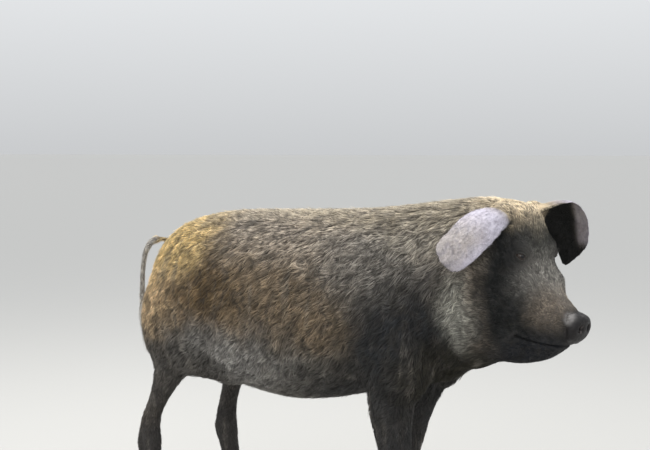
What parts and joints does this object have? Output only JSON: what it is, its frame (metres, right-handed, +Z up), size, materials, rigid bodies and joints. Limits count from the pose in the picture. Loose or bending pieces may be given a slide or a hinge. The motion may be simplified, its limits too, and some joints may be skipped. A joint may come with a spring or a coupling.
{
  "type": "pig",
  "caption": "Life-size still model of a bristly, semi-lop-eared domestic pig, standing in mid-stride with its head turned a little to its right.",
  "frame": {"origin": "middle of the body's bounding box, on the floor that the soles stand on", "axes": "+X the way the trunk points, towards the head, +Y to the pig's left, +Z up"},
  "size_m": [1.2787, 0.4496, 0.877],
  "materials": {
    "hide": "dark skin under a coat of stiff golden-brown and grey bristles",
    "dark_hide": "slate-grey skin with short dark bristles",
    "snout": "bare moist dark skin",
    "horn": "worn dark hoof horn",
    "eye": "wet dark brown",
    "tassel": "long pale bristles"
  },
  "bodies": {
    "root": {"trunk": "hide", "neck": "hide", "head": "hide", "tail": "hide", "tail_tassel": "tassel", "snout_disc": "snout", "ear_left": "dark_hide", "eye_left": "eye", "ear_right": "dark_hide", "eye_right": "eye", "foreleg_right": "dark_hide", "foreleg_right_claw_inner": "horn", "foreleg_right_dewclaw_inner": "horn", "foreleg_right_claw_outer": "horn", "foreleg_right_dewclaw_outer": "horn", "foreleg_left": "dark_hide", "foreleg_left_claw_inner": "horn", "foreleg_left_dewclaw_inner": "horn", "foreleg_left_claw_outer": "horn", "foreleg_left_dewclaw_outer": "horn", "hindleg_right": "dark_hide", "hindleg_right_claw_inner": "horn", "hindleg_right_dewclaw_inner": "horn", "hindleg_right_claw_outer": "horn", "hindleg_right_dewclaw_outer": "horn", "hindleg_left": "dark_hide", "hindleg_left_claw_inner": "horn", "hindleg_left_dewclaw_inner": "horn", "hindleg_left_claw_outer": "horn", "hindleg_left_dewclaw_outer": "horn"}
  },
  "joints": []
}
